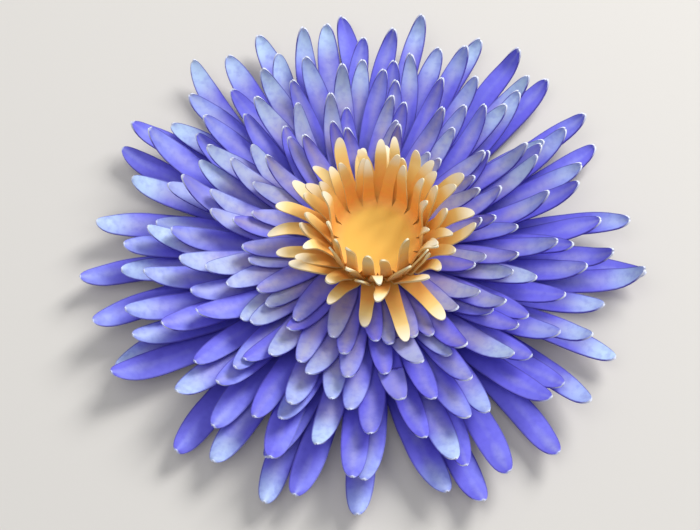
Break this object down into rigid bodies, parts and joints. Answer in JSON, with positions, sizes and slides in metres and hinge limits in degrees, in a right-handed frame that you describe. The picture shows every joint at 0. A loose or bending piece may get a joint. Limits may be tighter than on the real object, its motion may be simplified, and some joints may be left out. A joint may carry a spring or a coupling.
{
  "type": "layered cut-paper flower",
  "caption": "Flat-backed paper flower: glued rosettes of long blue-violet petals, stacked from wide to narrow, around a cup of narrow yellow florets, to decorate a card, gift or wall.",
  "frame": {"origin": "middle of the lowest rosette's flat hub, on its underside", "axes": "+Z out of the flower's face, -Y towards the viewer, +X to the viewer's right"},
  "size_m": [0.0748, 0.0729, 0.017],
  "materials": {
    "blue_paper": "blue-violet inked card with a slight satin sheen",
    "yellow_paper": "golden inked card, orange at the folds and pale at the cut tips",
    "dried_glue": "dried white craft glue"
  },
  "bodies": {
    "root": {"blue_rosette_01": "blue_paper", "blue_rosette_02": "blue_paper", "blue_rosette_03": "blue_paper", "blue_rosette_04": "blue_paper", "blue_rosette_05": "blue_paper", "blue_rosette_06": "blue_paper", "blue_rosette_07": "blue_paper", "blue_rosette_08": "blue_paper", "blue_rosette_09": "blue_paper", "blue_rosette_10": "blue_paper", "blue_rosette_11": "blue_paper", "blue_rosette_12": "blue_paper", "yellow_rosette_1": "yellow_paper", "yellow_rosette_2": "yellow_paper", "yellow_rosette_3": "yellow_paper", "yellow_rosette_4": "yellow_paper", "glue_dab_01": "dried_glue", "glue_dab_02": "dried_glue", "glue_dab_03": "dried_glue", "glue_dab_04": "dried_glue", "glue_dab_05": "dried_glue", "glue_dab_06": "dried_glue", "glue_dab_07": "dried_glue", "glue_dab_08": "dried_glue", "glue_dab_09": "dried_glue", "glue_dab_10": "dried_glue", "glue_dab_11": "dried_glue", "glue_dab_12": "dried_glue", "glue_dab_13": "dried_glue", "glue_dab_14": "dried_glue", "glue_dab_15": "dried_glue"}
  },
  "joints": []
}
